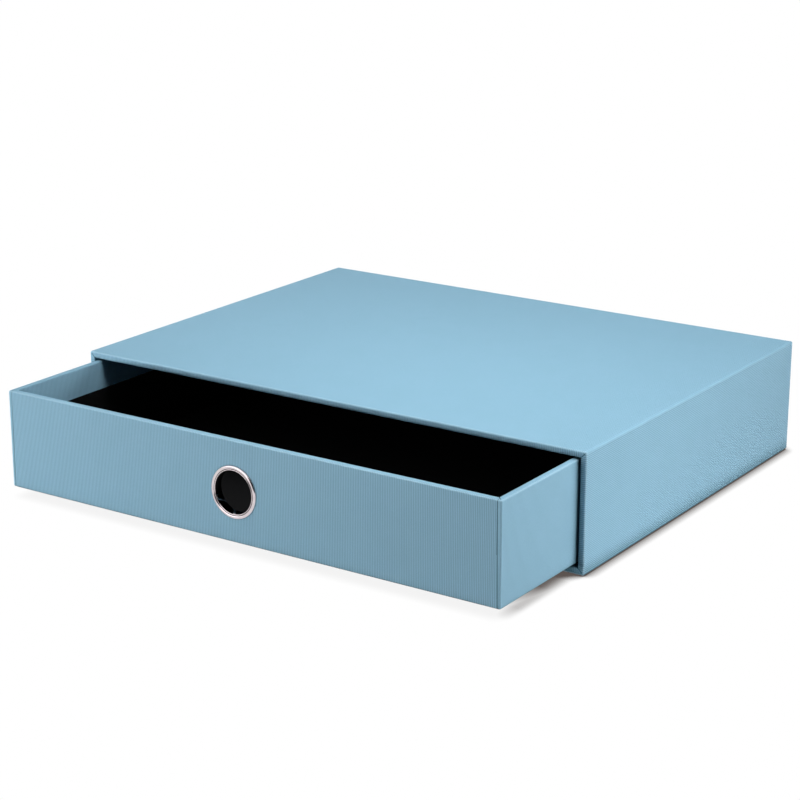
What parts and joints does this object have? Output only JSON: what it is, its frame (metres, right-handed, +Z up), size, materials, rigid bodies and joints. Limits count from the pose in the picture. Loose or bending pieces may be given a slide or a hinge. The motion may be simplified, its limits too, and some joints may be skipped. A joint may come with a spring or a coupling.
{
  "type": "file box with drawer",
  "caption": "Flat covered greyboard case, open at the front, with a shallow paper-lined drawer that slides in it and a round metal finger hole in the drawer front.",
  "frame": {"origin": "centre of the case's underside, on the surface that it stands on", "axes": "+X to the right seen from the front, -Y out of the mouth, the way the drawer opens, +Z up"},
  "size_m": [0.33, 0.3222, 0.067],
  "materials": {
    "ribbed_cover": "matte",
    "black_lining": "matte",
    "greyboard": "matte",
    "stay_tape": "matte",
    "ring_metal": "polished",
    "washer_metal": "satin"
  },
  "bodies": {
    "case": {"case_bottom_board": "greyboard", "case_top_board": "greyboard", "case_left_board": "greyboard", "case_right_board": "greyboard", "case_back_board": "greyboard", "case_corner_stays": "stay_tape", "case_wrap_paper": "ribbed_cover", "case_back_paper": "ribbed_cover", "case_underside_paper": "ribbed_cover", "case_wall_lining": "black_lining", "case_back_lining": "black_lining", "case_glide_board": "black_lining"},
    "drawer": {"drawer_front_board": "greyboard", "drawer_back_board": "greyboard", "drawer_left_board": "greyboard", "drawer_right_board": "greyboard", "drawer_base_board": "greyboard", "drawer_corner_stays": "stay_tape", "drawer_wrap_paper": "ribbed_cover", "drawer_underside_paper": "black_lining", "drawer_wall_lining": "black_lining", "drawer_floor_lining": "black_lining", "finger_ring": "ring_metal", "ring_back_washer": "washer_metal"}
  },
  "joints": [
    {"name": "drawer_slide", "type": "slide", "parent": "case", "child": "drawer", "axis": [0, -1, 0], "range_m": [-0.073, 0.15]}
  ]
}
